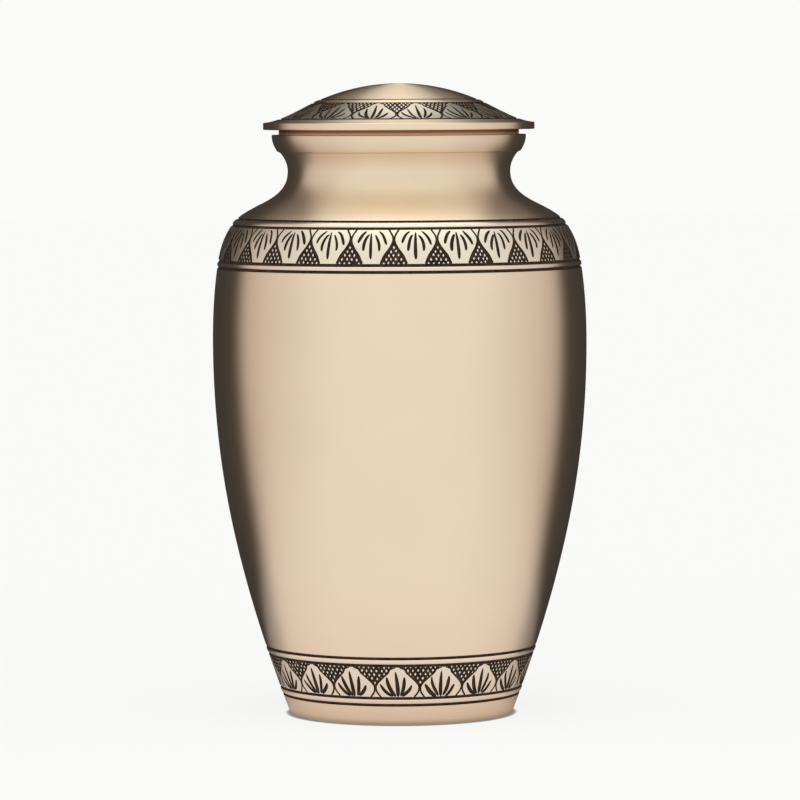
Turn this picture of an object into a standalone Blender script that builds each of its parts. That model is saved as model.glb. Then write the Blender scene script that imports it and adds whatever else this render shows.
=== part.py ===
"""Brass cremation urn: a turned, hollow vessel and the lid that sits in its collar.

Metres, +Z up. The origin is on the axis, at the underside of the foot.
A band of leaves is engraved round the foot, the shoulder and the lid, between turned rings.
"""

import math

import bmesh
import bpy
from mathutils import Vector

# Vessel, from the ground up
FOOT_RADIUS = 0.0480
FOOT_CORNER = 0.0020
FOOT_RING_WIDTH = 0.0060
FOOT_RECESS = 0.0010
BELLY_RADIUS = 0.0792
BELLY_HEIGHT = 0.1580
NECK_RADIUS = 0.0471
NECK_RISE = 0.0722
WALL = 0.0014
FLOOR_FILLET = 0.0040

# Collar on the neck, and the bore that takes the lid
NECK_TOP_RISE = 0.0076
NECK_TOP_FLARE = 0.0031
COLLAR_OVERHANG = 0.0013
COLLAR_UNDERCUT = 0.0006
COLLAR_BULGE = 0.0023
COLLAR_HEIGHT = 0.0070
COLLAR_WALL = 0.0027
BORE_DEPTH = 0.0058
EDGE_CHAMFER = 0.0004

# Lid
LID_GAP = 0.0021
FLANGE_OVERHANG = 0.0036
FLANGE_THICKNESS = 0.0030
LID_RISE = 0.0165
CROWN_BEND_RADIUS = 0.0845
CROWN_REACH = 0.0380
SKIRT_SLOPE = -0.10
SPIGOT_WALL = 0.0025
SPIGOT_CLEARANCE = 0.0003

# Engraving
RING_WIDTH = 0.0011
RING_DEPTH = 0.0004
GROUND_DEPTH = 0.0006
FOOT_BAND_BOTTOM = 0.01025
FOOT_BAND_HEIGHT = 0.01715
FOOT_RING_GAP = 0.0030
FOOT_LEAVES = 18
FOOT_TURN = math.radians(-1.7)
SHOULDER_RING_GAP = 0.0028
SHOULDER_LEAVES = 26
SHOULDER_TURN = math.radians(5.2)
LID_BAND_RADIUS = 0.0504
LID_BAND_WIDTH = 0.0141
LID_RING_GAP = 0.0031
LID_LEAVES = 15
LID_TURN = math.radians(11.0)

# How finely the round surfaces are faceted
SEGMENTS = 44
OUTER_SAGITTA = 0.00024
INNER_SAGITTA = 0.00060
CORNER_STEPS = 3
CUTTER_PROUD = 0.0010
SHARP_ANGLE = math.radians(20)

BRONZE = (0.72, 0.54, 0.37, 1.0)
BLACK = (0.035, 0.027, 0.020, 1.0)

# The side's curve as shares of the rise and of the change in radius, with the slope at each station
LOWER_CURVE = ((0.0, 0.0, 1.88), (0.5, 0.747, 1.05), (1.0, 1.0, 0.0))
UPPER_CURVE = (
    (0.0, 0.0, 0.0),
    (0.458, 0.071, 0.34),
    (0.703, 0.289, 1.75),
    (0.811, 0.666, 4.6),
    (1.0, 1.0, 0.0),
)
NECK_TOP_CURVE = ((0.0, 0.0, 0.0), (1.0, 1.0, 2.0))
SHOULDER_BAND_SHARES = (UPPER_CURVE[1][0], UPPER_CURVE[2][0])
COLLAR_SHARES = (0.94, 0.65, 0.4, 0.18, 0.0)
COLLAR_FULLNESS = 2.2

# Half width of a leaf, in leaf spacings, at shares of the way from its root to its tip
HANGING_LEAF = ((0.0, 0.41), (0.3, 0.47), (0.45, 0.43), (0.6, 0.355), (0.8, 0.245), (1.0, 0.165))
STANDING_LEAF = ((0.0, 0.34), (0.3, 0.46), (0.5, 0.37), (0.72, 0.22), (0.86, 0.13), (1.0, 0.06))
# The ground between two leaves starts in a point at the first share and is widest at the last
GROUND_SHARES = (0.36, 0.62, 0.93)


def cubic(stations, position):
    """Value and slope at position on the smooth curve through stations of (position, value, slope)."""
    start, end = next(
        ((a, b) for a, b in zip(stations, stations[1:]) if position <= b[0]),
        (stations[-2], stations[-1]),
    )
    width = end[0] - start[0]
    t = (position - start[0]) / width
    value = (
        (2 * t**3 - 3 * t**2 + 1) * start[1]
        + (t**3 - 2 * t**2 + t) * width * start[2]
        + (3 * t**2 - 2 * t**3) * end[1]
        + (t**3 - t**2) * width * end[2]
    )
    slope = (
        (6 * t**2 - 6 * t) * (start[1] - end[1]) / width
        + (3 * t**2 - 4 * t + 1) * start[2]
        + (3 * t**2 - 2 * t) * end[2]
    )
    return value, slope


def scaled(curve, start, end):
    """The stations of a unit curve, stretched between two (height, radius) points."""
    rise = end[0] - start[0]
    spread = end[1] - start[1]
    return [(start[0] + s * rise, start[1] + v * spread, m * spread / rise) for s, v, m in curve]


# Heights and radii that follow from the sizes above
NECK_HEIGHT = BELLY_HEIGHT + NECK_RISE
NECK_TOP = (NECK_HEIGHT + NECK_TOP_RISE, NECK_RADIUS + NECK_TOP_FLARE)
COLLAR_BOTTOM = NECK_TOP[0] + COLLAR_UNDERCUT
COLLAR_TOP = COLLAR_BOTTOM + COLLAR_HEIGHT
COLLAR_FOOT_RADIUS = NECK_TOP[1] + COLLAR_OVERHANG
COLLAR_RADIUS = COLLAR_FOOT_RADIUS + COLLAR_BULGE
BORE_RADIUS = COLLAR_RADIUS - COLLAR_WALL
LEDGE = COLLAR_TOP - BORE_DEPTH
FLOOR = FOOT_RECESS + WALL
FLANGE_BOTTOM = COLLAR_TOP + LID_GAP
FLANGE_TOP = FLANGE_BOTTOM + FLANGE_THICKNESS
FLANGE_RADIUS = COLLAR_RADIUS + FLANGE_OVERHANG
CROWN_TOP = FLANGE_TOP + LID_RISE
SPIGOT_RADIUS = BORE_RADIUS - SPIGOT_CLEARANCE
SPIGOT_BORE = SPIGOT_RADIUS - SPIGOT_WALL
SPIGOT_BOTTOM = LEDGE + SPIGOT_CLEARANCE

SIDE = (
    scaled(LOWER_CURVE, (FOOT_CORNER, FOOT_RADIUS), (BELLY_HEIGHT, BELLY_RADIUS))
    + scaled(UPPER_CURVE, (BELLY_HEIGHT, BELLY_RADIUS), (NECK_HEIGHT, NECK_RADIUS))[1:]
    + scaled(NECK_TOP_CURVE, (NECK_HEIGHT, NECK_RADIUS), NECK_TOP)[1:]
)


def vessel_surface(height):
    """Point (radius, height) of the vessel's outside, and the direction out of it."""
    radius, flare = cubic(SIDE, height)
    return Vector((radius, height)), Vector((1.0, -flare)).normalized()


def crown(radius):
    """Height and slope of the round crown of the lid."""
    fall = math.sqrt(CROWN_BEND_RADIUS**2 - radius**2)
    return CROWN_TOP - CROWN_BEND_RADIUS + fall, -radius / fall


def lid_surface(radius):
    """Point (radius, height) of the lid's top, and the direction out of it."""
    height, slope = crown(min(radius, CROWN_REACH))
    if radius > CROWN_REACH:
        skirt = (
            (CROWN_REACH, height, slope),
            (FLANGE_RADIUS - EDGE_CHAMFER, FLANGE_TOP, SKIRT_SLOPE),
        )
        height, slope = cubic(skirt, radius)
    return Vector((radius, height)), Vector((-slope, 1.0)).normalized()


def sagitta(surface, start, end):
    """How far the surface leaves the straight line between two positions, at most."""
    first = surface(start)[0]
    chord = (surface(end)[0] - first).normalized()
    between = [surface(start + (end - start) * n / 8)[0] - first for n in range(1, 8)]
    return max(abs(chord.x * away.y - chord.y * away.x) for away in between)


def stepped(surface, start, end, most):
    """Positions from start to end, so close that no straight step leaves the surface by more than most."""
    positions = [start]
    while positions[-1] != end:
        here = positions[-1]
        reach = end - here
        while sagitta(surface, here, here + reach) > most:
            reach *= 0.9
        left = end - here
        if reach == left:
            positions.append(end)
        elif abs(left) < 2 * abs(reach):
            positions += [here + left / 2, end]
        else:
            positions.append(here + reach)
    return positions


def outline(surface, start, end, most, depth=0.0):
    """Profile points from start to end, sunk by depth below the surface."""
    found = [surface(position) for position in stepped(surface, start, end, most)]
    return [point - out * depth for point, out in found]


def ringed_outline(surface, start, end, rings):
    """Profile points from start to end, with a V-shaped turned ring at each of the given positions."""
    direction = math.copysign(1.0, end - start)
    points = []
    here = start
    for ring in sorted(rings, reverse=direction < 0):
        middle, out = surface(ring)
        step = direction * RING_WIDTH / 2
        length = (surface(ring + step)[0] - middle).length
        half = step * abs(step) / length
        points += outline(surface, here, ring - half, OUTER_SAGITTA)
        points.append(middle - out * RING_DEPTH)
        here = ring + half
    return points + outline(surface, here, end, OUTER_SAGITTA)


def corner(centre, radius, start, end):
    """Profile points on a round corner, between two angles."""
    angles = [start + (end - start) * n / CORNER_STEPS for n in range(CORNER_STEPS + 1)]
    return [centre + Vector((math.cos(a), math.sin(a))) * radius for a in angles]


def ring_pair(position, gap):
    """The two rings that stand either side of a position."""
    return [position - gap / 2, position + gap / 2]


def foot_band():
    """Heights of the two ring pairs that bound the foot's leaves."""
    return FOOT_BAND_BOTTOM, FOOT_BAND_BOTTOM + FOOT_BAND_HEIGHT


def shoulder_band():
    """Heights of the two ring pairs that bound the shoulder's leaves."""
    low, high = SHOULDER_BAND_SHARES
    return BELLY_HEIGHT + low * NECK_RISE, BELLY_HEIGHT + high * NECK_RISE


def foot_rings():
    """Heights of the turned rings at both edges of the foot's leaves."""
    return [ring for height in foot_band() for ring in ring_pair(height, FOOT_RING_GAP)]


def shoulder_rings():
    """Heights of the turned rings at both edges of the shoulder's leaves."""
    return [ring for height in shoulder_band() for ring in ring_pair(height, SHOULDER_RING_GAP)]


def lid_rings():
    """Radii of all turned rings on the lid: one outside the leaves and two inside them."""
    inner = LID_BAND_RADIUS - LID_BAND_WIDTH
    return [LID_BAND_RADIUS, inner, inner - LID_RING_GAP]


def collar_outline():
    """The collar from its top edge down its swelling side to the undercut on the neck."""
    points = [Vector((COLLAR_RADIUS - EDGE_CHAMFER, COLLAR_TOP))]
    for share in COLLAR_SHARES:
        swell = COLLAR_BULGE * (1 - (1 - share) ** COLLAR_FULLNESS)
        points.append(Vector((COLLAR_FOOT_RADIUS + swell, COLLAR_BOTTOM + COLLAR_HEIGHT * share)))
    return points


def hollow_outline():
    """The hollow from the middle of its floor up to the ledge in the bore."""
    side = outline(vessel_surface, FLOOR + FLOOR_FILLET, NECK_TOP[0], INNER_SAGITTA, WALL)
    centre = Vector((side[0].x - FLOOR_FILLET, FLOOR + FLOOR_FILLET))
    fillet = corner(centre, FLOOR_FILLET, -math.pi / 2, 0.0)
    return [Vector((0.0, FLOOR)), *fillet[:-1], *side, Vector((side[-1].x, LEDGE))]


def foot_outline():
    """The foot from its rounded corner to the middle of the recess underneath."""
    centre = Vector((FOOT_RADIUS - FOOT_CORNER, FOOT_CORNER))
    ring_inside = centre.x - FOOT_RING_WIDTH
    return [
        *corner(centre, FOOT_CORNER, 0.0, -math.pi / 2)[1:],
        Vector((ring_inside, 0.0)),
        Vector((ring_inside - FOOT_RECESS, FOOT_RECESS)),
        Vector((0.0, FOOT_RECESS)),
    ]


def vessel_profile():
    """Up the inside, over the collar and down the outside."""
    return [
        *hollow_outline(),
        Vector((BORE_RADIUS, LEDGE)),
        Vector((BORE_RADIUS, COLLAR_TOP)),
        *collar_outline(),
        *ringed_outline(vessel_surface, NECK_TOP[0], BELLY_HEIGHT, shoulder_rings()),
        *ringed_outline(vessel_surface, BELLY_HEIGHT, FOOT_CORNER, foot_rings())[1:],
        *foot_outline(),
    ]


def lid_profile():
    """From the crown out to the flange, down the spigot and up the hollow inside."""
    edge = FLANGE_RADIUS - EDGE_CHAMFER
    hollow = outline(lid_surface, SPIGOT_BORE, 0.0, INNER_SAGITTA, WALL)
    return [
        *ringed_outline(lid_surface, 0.0, edge, lid_rings()),
        Vector((FLANGE_RADIUS, FLANGE_TOP - EDGE_CHAMFER)),
        Vector((FLANGE_RADIUS, FLANGE_BOTTOM + EDGE_CHAMFER)),
        Vector((edge, FLANGE_BOTTOM)),
        Vector((SPIGOT_RADIUS, FLANGE_BOTTOM)),
        Vector((SPIGOT_RADIUS, SPIGOT_BOTTOM)),
        Vector((SPIGOT_BORE, SPIGOT_BOTTOM)),
        Vector((SPIGOT_BORE, hollow[0].y)),
        *hollow[1:],
    ]


def turned(name, profile, collection):
    """An object whose profile is swept once round the Z axis."""
    mesh = bpy.data.meshes.new(name)
    vertices = [(point.x, 0.0, point.y) for point in profile]
    mesh.from_pydata(vertices, [(n, n + 1) for n in range(len(vertices) - 1)], [])
    solid = bpy.data.objects.new(name, mesh)
    collection.objects.link(solid)
    screw = solid.modifiers.new("Turn", "SCREW")
    screw.steps = screw.render_steps = SEGMENTS
    screw.use_merge_vertices = True
    screw.merge_threshold = 0.00001
    return solid


def leaf_half_width(leaf, share):
    """Half width of a leaf at a share of the way from its root to its tip."""
    for (low, low_width), (high, high_width) in zip(leaf, leaf[1:]):
        if share <= high:
            return low_width + (high_width - low_width) * (share - low) / (high - low)
    return leaf[-1][1]


def add_ground(bm, surface, leaf, root, tip, azimuth, spacing):
    """An open sheet at the depth of the ground between two leaves, round the given azimuth."""
    rows = []
    for share in GROUND_SHARES:
        point, out = surface(root + (tip - root) * share)
        sunk = point - out * GROUND_DEPTH
        half = (0.5 - leaf_half_width(leaf, share)) * spacing
        angles = [azimuth - half, azimuth, azimuth + half] if rows else [azimuth]
        row = [(sunk.x * math.sin(a), -sunk.x * math.cos(a), sunk.y) for a in angles]
        rows.append([bm.verts.new(place) for place in row])
    point_row, middle, wide = rows
    bm.faces.new((*point_row, *middle[:2]))
    bm.faces.new((*point_row, *middle[1:]))
    for side in (0, 1):
        bm.faces.new((middle[side], middle[side + 1], wide[side + 1], wide[side]))


def ground_cutter(name, surface, leaf, ends, count, turn, collection):
    """One cutter for the ground between all the leaves of a band, from root to tip ends."""
    bm = bmesh.new()
    spacing = 2 * math.pi / count
    for n in range(count):
        add_ground(bm, surface, leaf, *ends, turn + (n + 0.5) * spacing, spacing)
    bmesh.ops.triangulate(bm, faces=bm.faces)
    bm.normal_update()
    for face in bm.faces:
        face.material_index = 1
        if face.normal.dot(face.calc_center_median()) < 0:
            face.normal_flip()
    mesh = bpy.data.meshes.new(name)
    bm.to_mesh(mesh)
    bm.free()
    cutter = bpy.data.objects.new(name, mesh)
    collection.objects.link(cutter)
    cutter.hide_render = True
    cutter.display_type = "WIRE"
    thicken = cutter.modifiers.new("Through the surface", "SOLIDIFY")
    thicken.thickness = GROUND_DEPTH + CUTTER_PROUD
    thicken.offset = 1.0
    return cutter


def cut(solid, cutter):
    """Takes the cutter out of the solid."""
    boolean = solid.modifiers.new(cutter.name, "BOOLEAN")
    boolean.operation = "DIFFERENCE"
    boolean.solver = "EXACT"
    boolean.object = cutter


def fix(solid, materials, in_ring):
    """Fixes the modifiers into the mesh, shades it smooth and blackens the faces in a turned ring."""
    graph = bpy.context.evaluated_depsgraph_get()
    mesh = bpy.data.meshes.new_from_object(solid.evaluated_get(graph))
    solid.modifiers.clear()
    solid.data = mesh
    mesh.materials.clear()
    for material in materials:
        mesh.materials.append(material)
    for polygon in mesh.polygons:
        if in_ring(polygon.center.xy.length, polygon.center.z):
            polygon.material_index = 1
    mesh.shade_smooth()
    mesh.set_sharp_from_angle(angle=SHARP_ANGLE)


def in_vessel_ring(radius, height):
    """True inside a turned ring on the vessel's outside."""
    outside = radius > cubic(SIDE, height)[0] - WALL / 2
    return outside and any(abs(height - ring) < RING_WIDTH / 2 for ring in foot_rings() + shoulder_rings())


def in_lid_ring(radius, height):
    """True inside a turned ring on the lid's top."""
    outside = height > lid_surface(radius)[0].y - WALL / 2
    return outside and any(abs(radius - ring) < RING_WIDTH / 2 for ring in lid_rings())


def foot_leaf_ends():
    """Heights of the root and the tip of the foot's leaves, which stand up."""
    low, high = foot_band()
    inset = (FOOT_RING_GAP + RING_WIDTH) / 2
    return low + inset, high - inset


def shoulder_leaf_ends():
    """Heights of the root and the tip of the shoulder's leaves, which hang down."""
    low, high = shoulder_band()
    inset = (SHOULDER_RING_GAP + RING_WIDTH) / 2
    return high - inset, low + inset


def lid_leaf_ends():
    """Radii of the root and the tip of the lid's leaves, which point to the crown."""
    root, tip, _ = lid_rings()
    return root - RING_WIDTH / 2, tip + RING_WIDTH / 2


def make_vessel(collection, cutters, materials):
    """The hollow urn with the leaves on its foot and its shoulder."""
    vessel = turned("urn_body", vessel_profile(), collection)
    cut(vessel, ground_cutter(
        "foot_ground", vessel_surface, STANDING_LEAF, foot_leaf_ends(), FOOT_LEAVES, FOOT_TURN, cutters
    ))
    cut(vessel, ground_cutter(
        "shoulder_ground", vessel_surface, HANGING_LEAF, shoulder_leaf_ends(), SHOULDER_LEAVES,
        SHOULDER_TURN, cutters
    ))
    fix(vessel, materials, in_vessel_ring)


def make_lid(collection, cutters, materials):
    """The domed lid with its flange, its spigot and its leaves."""
    lid = turned("lid", lid_profile(), collection)
    cut(lid, ground_cutter(
        "lid_ground", lid_surface, STANDING_LEAF, lid_leaf_ends(), LID_LEAVES, LID_TURN, cutters
    ))
    fix(lid, materials, in_lid_ring)


def plain_material(name, colour, metallic, roughness):
    """A material of one colour."""
    material = bpy.data.materials.new(name)
    material.use_nodes = True
    shader = material.node_tree.nodes["Principled BSDF"]
    shader.inputs["Base Color"].default_value = colour
    shader.inputs["Metallic"].default_value = metallic
    shader.inputs["Roughness"].default_value = roughness
    return material


def new_collection(name):
    """An empty collection in the scene."""
    collection = bpy.data.collections.new(name)
    bpy.context.scene.collection.children.link(collection)
    return collection


def main():
    for old in list(bpy.data.objects):
        bpy.data.objects.remove(old)
    urn = new_collection("cremation_urn")
    cutters = new_collection("cutters")
    bronze = plain_material("brushed bronze", BRONZE, 1.0, 0.35)
    black = plain_material("engraving black", BLACK, 0.0, 0.7)
    make_vessel(urn, cutters, [bronze, black])
    make_lid(urn, cutters, [bronze, black])


main()
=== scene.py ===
"""The looks of a brushed bronze cremation urn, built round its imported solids.

Metres, +Z up, with the photographed side facing -Y. Two closed meshes stand for the two solids.
Each is a turned profile, and its leaf bands are cut in true outline, with upright walls and a flat floor.
"""

import math

import bpy
import numpy as np
from mathutils import Euler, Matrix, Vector
from mathutils.geometry import delaunay_2d_cdt


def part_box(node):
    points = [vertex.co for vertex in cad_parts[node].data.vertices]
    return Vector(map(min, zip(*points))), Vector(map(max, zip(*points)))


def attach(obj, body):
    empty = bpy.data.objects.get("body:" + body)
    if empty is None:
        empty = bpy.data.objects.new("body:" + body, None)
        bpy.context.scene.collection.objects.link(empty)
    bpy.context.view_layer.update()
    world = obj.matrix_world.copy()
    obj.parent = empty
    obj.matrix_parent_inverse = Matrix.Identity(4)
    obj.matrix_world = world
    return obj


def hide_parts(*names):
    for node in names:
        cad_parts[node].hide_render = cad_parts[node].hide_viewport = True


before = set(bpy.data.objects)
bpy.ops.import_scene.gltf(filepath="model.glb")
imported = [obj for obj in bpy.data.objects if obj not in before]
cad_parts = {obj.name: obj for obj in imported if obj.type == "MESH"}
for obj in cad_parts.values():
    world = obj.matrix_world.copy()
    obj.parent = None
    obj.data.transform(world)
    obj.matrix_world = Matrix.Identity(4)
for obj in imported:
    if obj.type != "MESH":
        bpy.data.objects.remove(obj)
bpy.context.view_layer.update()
_, BODY_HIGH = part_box("urn_body")
LID_LOW, LID_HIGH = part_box("lid")

# Vessel sizes, as its solid has them
FOOT_RADIUS = 0.0480
FOOT_CORNER = 0.0020
FOOT_RING_WIDTH = 0.0060
FOOT_RECESS = 0.0010
BELLY_RADIUS = BODY_HIGH.x
BELLY_HEIGHT = 0.1580
NECK_RADIUS = 0.0471
NECK_RISE = 0.0722
NECK_TOP_RISE = 0.0076
NECK_TOP_FLARE = 0.0031
WALL = 0.0014
FLOOR_FILLET = 0.0040
LOWER_CURVE = ((0.0, 0.0, 1.88), (0.5, 0.747, 1.05), (1.0, 1.0, 0.0))
UPPER_CURVE = (
    (0.0, 0.0, 0.0),
    (0.458, 0.071, 0.34),
    (0.703, 0.289, 1.75),
    (0.811, 0.666, 4.6),
    (1.0, 1.0, 0.0),
)
NECK_TOP_CURVE = ((0.0, 0.0, 0.0), (1.0, 1.0, 2.0))

# Collar and lid sizes
COLLAR_TOP = BODY_HIGH.z
COLLAR_HEIGHT = 0.0070
COLLAR_BULGE = 0.0023
COLLAR_FULLNESS = 2.2
COLLAR_WALL = 0.0027
COLLAR_LIP = 0.0004
SPIGOT_CLEARANCE = 0.0003
SPIGOT_WALL = 0.0025
SPIGOT_BOTTOM = LID_LOW.z
FLANGE_RADIUS = LID_HIGH.x
FLANGE_OVERHANG = 0.0036
FLANGE_THICKNESS = 0.0030
LID_GAP = 0.0021
CROWN_TOP = LID_HIGH.z
CROWN_BEND_RADIUS = 0.0845
CROWN_REACH = 0.0380
SKIRT_SLOPE = -0.10
EDGE_ROUND = 0.0004

# Engraving
RING_WIDTH = 0.0013
FINE_RING_WIDTH = 0.0007
ENGRAVED_DEPTH = 0.00035
BEAD_RISE = 0.00018
FOOT_BAND_BOTTOM = 0.01025
FOOT_BAND_HEIGHT = 0.01715
FOOT_RING_GAP = 0.0030
SHOULDER_RING_GAP = 0.0028
LID_BAND_RADIUS = 0.0504
LID_BAND_WIDTH = 0.0141
LID_RING_GAP = 0.0031
SHOULDER_LEAVES, SHOULDER_TURN = 26, 5.2
FOOT_LEAVES, FOOT_TURN = 18, -1.7
LID_LEAVES, LID_TURN = 15, 11.0
BODY_COLUMNS = 234
LID_COLUMNS = 240

# Material slots; the fourth is unpolished bronze coloured with painted shade, for the spigot under the
# flange
PLAIN, BAND, BLACK, UNPOLISHED_PAINTED_SHADE, POLISHED = 0, 1, 2, 3, 4


def hermite(stations, x):
    """Piecewise cubic through stations of (place, value, slope).

    Between two stations the value is h00 a + h10 w ma + h01 b + h11 w mb, with the Hermite weights.
    """
    places, values, slopes = np.array(stations).T
    at = np.clip(np.searchsorted(places, x) - 1, 0, len(places) - 2)
    width = places[at + 1] - places[at]
    t = (x - places[at]) / width
    return (
        (2 * t**3 - 3 * t**2 + 1) * values[at]
        + (t**3 - 2 * t**2 + t) * width * slopes[at]
        + (3 * t**2 - 2 * t**3) * values[at + 1]
        + (t**3 - t**2) * width * slopes[at + 1]
    )


def scaled(curve, start, end):
    """The stations of a unit curve, stretched between two (height, radius) points."""
    rise = end[0] - start[0]
    spread = end[1] - start[1]
    return [(start[0] + s * rise, start[1] + v * spread, m * spread / rise) for s, v, m in curve]


NECK_HEIGHT = BELLY_HEIGHT + NECK_RISE
NECK_TOP = (NECK_HEIGHT + NECK_TOP_RISE, NECK_RADIUS + NECK_TOP_FLARE)
SIDE = (
    scaled(LOWER_CURVE, (FOOT_CORNER, FOOT_RADIUS), (BELLY_HEIGHT, BELLY_RADIUS))
    + scaled(UPPER_CURVE, (BELLY_HEIGHT, BELLY_RADIUS), (NECK_HEIGHT, NECK_RADIUS))[1:]
    + scaled(NECK_TOP_CURVE, (NECK_HEIGHT, NECK_RADIUS), NECK_TOP)[1:]
)
COLLAR_BOTTOM = COLLAR_TOP - COLLAR_HEIGHT
COLLAR_RADIUS = FLANGE_RADIUS - FLANGE_OVERHANG
BORE_RADIUS = COLLAR_RADIUS - COLLAR_WALL
LEDGE = SPIGOT_BOTTOM - SPIGOT_CLEARANCE
SPIGOT_RADIUS = BORE_RADIUS - SPIGOT_CLEARANCE
SPIGOT_BORE = SPIGOT_RADIUS - SPIGOT_WALL
FLANGE_BOTTOM = COLLAR_TOP + LID_GAP
FLANGE_TOP = FLANGE_BOTTOM + FLANGE_THICKNESS


def with_directions(points):
    """Points (radius, height) along a smooth line, with the unit vector out of it at each.

    That vector lies a quarter turn left of the line's run.
    """
    run = np.gradient(points, axis=0)
    out = np.stack([-run[:, 1], run[:, 0]], axis=1)
    return points, out / np.linalg.norm(out, axis=1, keepdims=True)


def vessel_surface(height):
    """Points of the vessel's outside at these heights, and the directions out of it.

    The radius is the Hermite curve of the height, and the direction is (1, -slope), made a unit vector.
    """
    height = np.asarray(height, float)
    small = 1e-6
    slope = (hermite(SIDE, height + small) - hermite(SIDE, height - small)) / (2 * small)
    out = np.stack([np.ones_like(slope), -slope], axis=-1)
    points = np.stack([hermite(SIDE, height), height], axis=-1)
    return points, out / np.linalg.norm(out, axis=-1, keepdims=True)


def lid_height(radius):
    """Height of the lid's top: a round crown, then a cubic skirt down to the flange."""
    inside = np.minimum(radius, CROWN_REACH)
    crown = CROWN_TOP - CROWN_BEND_RADIUS + np.sqrt(CROWN_BEND_RADIUS**2 - inside**2)
    fall = math.sqrt(CROWN_BEND_RADIUS**2 - CROWN_REACH**2)
    join = CROWN_TOP - CROWN_BEND_RADIUS + fall
    skirt = ((CROWN_REACH, join, -CROWN_REACH / fall), (FLANGE_RADIUS - EDGE_ROUND, FLANGE_TOP, SKIRT_SLOPE))
    return np.where(radius <= CROWN_REACH, crown, hermite(skirt, radius))


def lid_surface(radius):
    """Points of the lid's top at these radii, and the directions out of it."""
    radius = np.asarray(radius, float)
    small = 1e-6
    slope = (lid_height(radius + small) - lid_height(np.abs(radius - small))) / (2 * small)
    slope = np.where(radius < 2 * small, 0.0, slope)
    out = np.stack([-slope, np.ones_like(slope)], axis=-1)
    points = np.stack([radius, lid_height(radius)], axis=-1)
    return points, out / np.linalg.norm(out, axis=-1, keepdims=True)


class Profile:
    """A closed outline in (radius, height), run from the axis and back to it, with its strips.

    Each strip joins one point to the next and carries the direction out of the surface at both of its ends,
    so an edge is sharp where two strips disagree. Leaf bands leave a gap that is filled afterwards.
    """

    def __init__(self):
        self.points = []
        self.strips = []
        self.bands = []

    def add(self, points, directions, slot=PLAIN):
        """A smooth run, joined to the last point where the two meet."""
        points = np.asarray(points, float)
        first = len(self.points)
        if first and np.linalg.norm(points[0] - self.points[-1]) < 1e-7:
            first -= 1
            self.points += list(points[1:])
        else:
            self.points += list(points)
        for n in range(len(points) - 1):
            self.strips.append((first + n, directions[n], directions[n + 1], slot))

    def smooth(self, points, slot=PLAIN):
        self.add(*with_directions(np.asarray(points, float)), slot)

    def straight(self, *points, slot=PLAIN):
        """Straight stretches with sharp edges between them."""
        for start, end in zip(points, points[1:]):
            self.smooth([start, end], slot)

    def band(self, points):
        """The gap for a leaf band: only its two edges are points of the outline."""
        self.points.append(np.asarray(points[-1], float))
        self.bands.append(len(self.points) - 2)


def arc(centre, radius, start, end, steps):
    """Points on a round corner, between two angles in degrees."""
    angles = np.radians(np.linspace(start, end, steps + 1))
    return np.array(centre) + radius * np.stack([np.cos(angles), np.sin(angles)], axis=1)


def stretch(surface, start, end, spacing):
    """Evenly placed points on a surface and their directions, about spacing apart."""
    count = max(2, int(abs(end - start) / spacing) + 2)
    return surface(np.linspace(start, end, count))


def groove(profile, surface, start, end):
    """A turned ring: a wall down, a black floor and a wall up again, the walls leaning out a little."""
    lean = 0.07 * (end - start)
    edges, _ = surface(np.array([start, end]))
    floor, out = surface(np.array([start + lean, end - lean]))
    floor = floor - out * ENGRAVED_DEPTH
    profile.straight(edges[0], floor[0], floor[1], edges[1], slot=BLACK)


def bead(profile, surface, start, end, slot):
    """The fillet between two rings, raised by a parabola across its width."""
    points, out = stretch(surface, start, end, abs(end - start) / 6)
    across = np.linspace(-1, 1, len(points))[:, None]
    profile.smooth(points + out * BEAD_RISE * (1 - across**2), slot)


def ring_edges(surface, place, width):
    """Where a ring of this width begins and ends on either side of its place, lower number first."""
    small = 1e-5
    step = surface(np.array([place - small, place + small]))[0]
    half = width / 2 * 2 * small / np.linalg.norm(step[1] - step[0])
    return place - half, place + half


def vessel_rings():
    """Heights of the vessel's rings, from the top down: two at each edge of each leaf band."""
    places = []
    shoulder_low, shoulder_high = (BELLY_HEIGHT + UPPER_CURVE[n][0] * NECK_RISE for n in (1, 2))
    for low, high, gap in (
        (shoulder_low, shoulder_high, SHOULDER_RING_GAP),
        (FOOT_BAND_BOTTOM, FOOT_BAND_BOTTOM + FOOT_BAND_HEIGHT, FOOT_RING_GAP),
    ):
        places += [high + gap / 2, high - gap / 2, low + gap / 2, low - gap / 2]
    return [ring_edges(vessel_surface, place, RING_WIDTH)[::-1] for place in places]


def lid_rings():
    """Radii of the lid's rings, from the crown out: two inside the leaves and one outside them."""
    inner = LID_BAND_RADIUS - LID_BAND_WIDTH
    rings = (
        (inner - LID_RING_GAP, FINE_RING_WIDTH),
        (inner, FINE_RING_WIDTH),
        (LID_BAND_RADIUS, RING_WIDTH),
    )
    return [ring_edges(lid_surface, place, width) for place, width in rings]


def ringed(profile, surface, start, rings, spacing):
    """A run of surface from start, through a leaf band's rings and the band, and up to its last ring."""
    outer, inner, far_inner, far_outer = rings
    profile.add(*stretch(surface, start, outer[0], spacing))
    groove(profile, surface, *outer)
    bead(profile, surface, outer[1], inner[0], PLAIN if far_outer is None else POLISHED)
    profile.band(surface(np.array([inner[0], far_inner[1]]))[0])
    if far_outer is None:
        return far_inner[1]
    bead(profile, surface, far_inner[1], far_outer[0], POLISHED)
    groove(profile, surface, *far_outer)
    return far_outer[1]


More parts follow.
